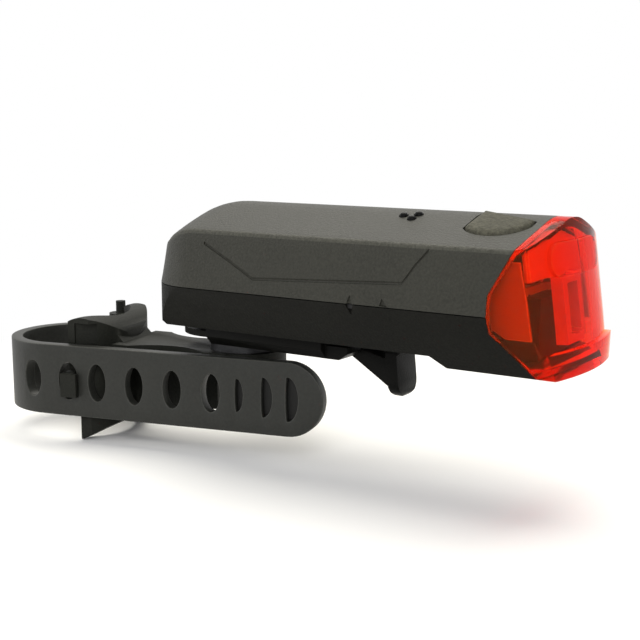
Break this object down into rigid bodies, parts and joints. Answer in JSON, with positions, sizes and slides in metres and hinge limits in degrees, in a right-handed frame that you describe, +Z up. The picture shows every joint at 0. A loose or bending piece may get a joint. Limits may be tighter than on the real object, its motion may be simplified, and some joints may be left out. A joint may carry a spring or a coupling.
{
  "type": "bicycle rear light",
  "caption": "Battery rear light with red lens and top button, clipped by a sliding rail to a swivel arm with a rubber-strap seat post clamp.",
  "frame": {"origin": "on the axis of the seat post clamp, level with the middle of the strap", "axes": "+Z up along the seat post clamp's axis, +X the way the lens points, +Y to the lens's left"},
  "size_m": [0.1423, 0.042, 0.0564],
  "materials": {
    "bracket_plastic": "fine matte grain",
    "strap_rubber": "soft satin",
    "pad_rubber": "soft matte",
    "clip_plastic": "satin",
    "shell_plastic": "satin",
    "shell_plastic_low": "satin",
    "button_rubber": "soft matte",
    "dome_plastic": "gloss",
    "lens_red": "clear, tinted, glossy",
    "guide_clear": "clear, tinted, glossy",
    "block_plastic": "satin",
    "inner_plastic": "satin",
    "steel": "satin",
    "spring_steel": "bright",
    "contact_brass": "satin",
    "cell_jacket": "gloss",
    "board": "satin",
    "chip_plastic": "matte",
    "plunger_plastic": "satin",
    "led": "gloss",
    "seal_rubber": "soft matte"
  },
  "bodies": {
    "bracket": {"saddle_base": "bracket_plastic", "saddle_pad": "pad_rubber", "strap_pin": "bracket_plastic", "strap_loop": "strap_rubber"},
    "tail": {"strap_tail": "strap_rubber"},
    "light": {"slide_clip": "clip_plastic", "pivot_washer": "steel", "pivot_screw": "steel", "lower_shell": "shell_plastic_low", "housing_seal": "seal_rubber", "battery_tray": "inner_plastic", "battery_cells": "cell_jacket", "battery_springs": "spring_steel", "contact_plates": "contact_brass", "circuit_board": "board", "board_screws": "steel", "board_components": "chip_plastic", "tact_switch": "chip_plastic", "led_emitter": "led", "light_guide": "guide_clear", "reflector_block": "block_plastic", "lens": "lens_red"},
    "lever": {"release_lever": "clip_plastic"},
    "cover": {"upper_shell": "shell_plastic", "indicator_domes": "dome_plastic"},
    "button": {"power_button": "button_rubber"},
    "plunger": {"switch_plunger": "plunger_plastic"}
  },
  "joints": [
    {"name": "swivel", "type": "hinge", "parent": "bracket", "child": "light", "pos_m": [0.04543, 0.0072, 0.0083], "axis": [0, 0, 1], "range_deg": [-16, 34]},
    {"name": "lever_press", "type": "hinge", "parent": "light", "child": "lever", "pos_m": [0.07563, 0.0072, 0.0119], "axis": [0, 1, 0], "range_deg": [0, 12], "stiffness_Nm_per_rad": 0.4},
    {"name": "cover_slide", "type": "slide", "parent": "light", "child": "cover", "axis": [-1, 0, 0], "range_m": [0, 0.009]},
    {"name": "button_press", "type": "slide", "parent": "cover", "child": "button", "axis": [0, 0, -1], "range_m": [0, 0.0006], "stiffness_N_per_m": 1500},
    {"name": "plunger_press", "type": "slide", "parent": "light", "child": "plunger", "axis": [0, 0, -1], "range_m": [0, 0.0006]},
    {"name": "tail_flex", "type": "hinge", "parent": "bracket", "child": "tail", "pos_m": [0.01374, -0.01129, 0], "axis": [0, 0, 1], "range_deg": [-35, 0], "stiffness_Nm_per_rad": 0.05}
  ],
  "couplings": [
    {"joint": "plunger_press", "follows": "button_press", "ratio": 1}
  ]
}
